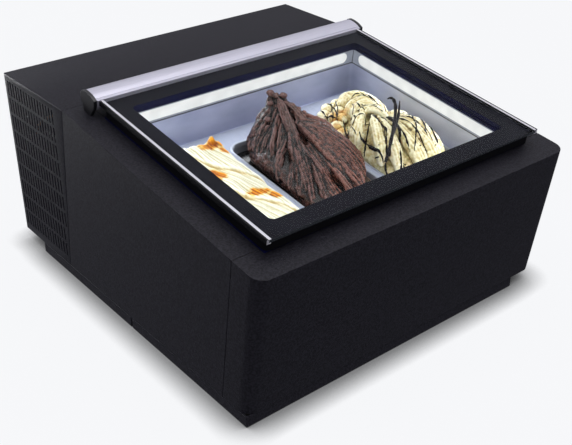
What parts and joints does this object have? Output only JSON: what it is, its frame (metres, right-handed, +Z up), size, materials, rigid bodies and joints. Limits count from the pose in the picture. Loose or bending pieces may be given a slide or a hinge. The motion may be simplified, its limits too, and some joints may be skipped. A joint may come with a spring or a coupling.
{
  "type": "countertop gelato display freezer",
  "caption": "Black countertop gelato display freezer with a sloped lift-up glass lid, lit white well, tilted steel pans of gelato and a vented rear machine compartment.",
  "frame": {"origin": "centre of the bounding box's footprint, on the surface the rubber feet stand on", "axes": "+X to the customer's right, +Y towards the rear machine compartment, +Z up"},
  "size_m": [0.63, 0.721, 0.3639],
  "materials": {
    "black_powder_coat": "fine-textured matte powder coat",
    "black_plastic": "satin",
    "navy_plastic": "gloss",
    "rubber": "matte",
    "anodised_aluminium": "satin anodised",
    "stainless_steel": "satin",
    "liner_steel": "matte, frosted",
    "galvanised_steel": "matte",
    "pin_steel": "ground",
    "tempered_glass": "polished",
    "light_diffuser": "frosted, lit",
    "insulation_foam": "matte",
    "copper": "drawn",
    "compressor_paint": "gloss black enamel",
    "fin_aluminium": "plain",
    "fan_plastic": "satin",
    "motor_paint": "satin",
    "control_plastic": "fine texture",
    "button_rubber": "matte",
    "rocker_plastic": "gloss",
    "cream_gelato": "moist",
    "chocolate_gelato": "moist",
    "stracciatella_gelato": "moist"
  },
  "bodies": {
    "cabinet": {"base_pan": "galvanised_steel", "compressor_base": "galvanised_steel", "fan_shroud": "galvanised_steel", "fan_bracket": "galvanised_steel", "foot_front_left": "rubber", "foot_front_right": "rubber", "foot_rear_left": "rubber", "foot_rear_right": "rubber", "plinth_front": "black_powder_coat", "plinth_left": "black_powder_coat", "plinth_right": "black_powder_coat", "front_panel": "black_powder_coat", "left_side_panel": "black_powder_coat", "right_side_panel": "black_powder_coat", "rear_housing": "black_powder_coat", "rear_service_panel": "black_powder_coat", "hinge_rail": "black_powder_coat", "insulation_foam": "insulation_foam", "inner_liner": "liner_steel", "collar_frame": "navy_plastic", "light_strip_left": "light_diffuser", "light_strip_right": "light_diffuser", "light_strip_front": "light_diffuser", "light_strip_rear": "light_diffuser", "evaporator_coil": "copper", "filter_drier": "copper", "discharge_pipe": "copper", "liquid_line": "copper", "suction_pipe": "copper", "pan_frame": "stainless_steel", "hinge_bracket_left": "black_plastic", "hinge_bracket_right": "black_plastic", "hinge_pin_left": "pin_steel", "hinge_pin_right": "pin_steel", "compressor": "compressor_paint", "start_relay": "control_plastic", "led_driver": "control_plastic", "controller": "control_plastic", "switch_housing": "control_plastic", "power_inlet": "control_plastic", "condenser": "fin_aluminium", "fan_motor": "motor_paint"},
    "lid": {"lid_glass": "tempered_glass", "lid_frame": "black_plastic", "lid_gasket": "rubber", "lid_trim_left": "anodised_aluminium", "lid_trim_right": "anodised_aluminium", "hinge_bar": "anodised_aluminium"},
    "fan": {"fan_blade": "fan_plastic"},
    "pan_left_body": {"pan_left": "stainless_steel", "gelato_left": "cream_gelato"},
    "pan_middle_body": {"pan_middle": "stainless_steel", "gelato_middle": "chocolate_gelato"},
    "pan_right_body": {"pan_right": "stainless_steel", "gelato_right": "stracciatella_gelato"},
    "power_rocker_body": {"power_rocker": "rocker_plastic"},
    "light_rocker_body": {"light_rocker": "rocker_plastic"},
    "button_down_body": {"button_down": "button_rubber"},
    "button_up_body": {"button_up": "button_rubber"},
    "button_set_body": {"button_set": "button_rubber"}
  },
  "joints": [
    {"name": "lid_hinge", "type": "hinge", "parent": "cabinet", "child": "lid", "pos_m": [0, 0.11759, 0.34619], "axis": [-1, 0, 0], "range_deg": [0, 70]},
    {"name": "fan_spin", "type": "hinge", "parent": "cabinet", "child": "fan", "pos_m": [-0.248, 0.262, 0.132], "axis": [1, 0, 0], "continuous": true},
    {"name": "pan_left_lift", "type": "slide", "parent": "cabinet", "child": "pan_left_body", "axis": [0, -0.1323, 0.9912], "range_m": [0, 0.008]},
    {"name": "pan_middle_lift", "type": "slide", "parent": "cabinet", "child": "pan_middle_body", "axis": [0, -0.1323, 0.9912], "range_m": [0, 0.008]},
    {"name": "pan_right_lift", "type": "slide", "parent": "cabinet", "child": "pan_right_body", "axis": [0, -0.1323, 0.9912], "range_m": [0, 0.008]},
    {"name": "power_rocker_tilt", "type": "hinge", "parent": "cabinet", "child": "power_rocker_body", "pos_m": [0.1655, 0.3545, 0.214], "axis": [1, 0, 0], "range_deg": [0, 18]},
    {"name": "light_rocker_tilt", "type": "hinge", "parent": "cabinet", "child": "light_rocker_body", "pos_m": [0.1845, 0.3545, 0.214], "axis": [1, 0, 0], "range_deg": [0, 18]},
    {"name": "button_down_press", "type": "slide", "parent": "cabinet", "child": "button_down_body", "axis": [0, -1, 0], "range_m": [0, 0.0008], "stiffness_N_per_m": 250},
    {"name": "button_up_press", "type": "slide", "parent": "cabinet", "child": "button_up_body", "axis": [0, -1, 0], "range_m": [0, 0.0008], "stiffness_N_per_m": 250},
    {"name": "button_set_press", "type": "slide", "parent": "cabinet", "child": "button_set_body", "axis": [0, -1, 0], "range_m": [0, 0.0008], "stiffness_N_per_m": 250}
  ]
}
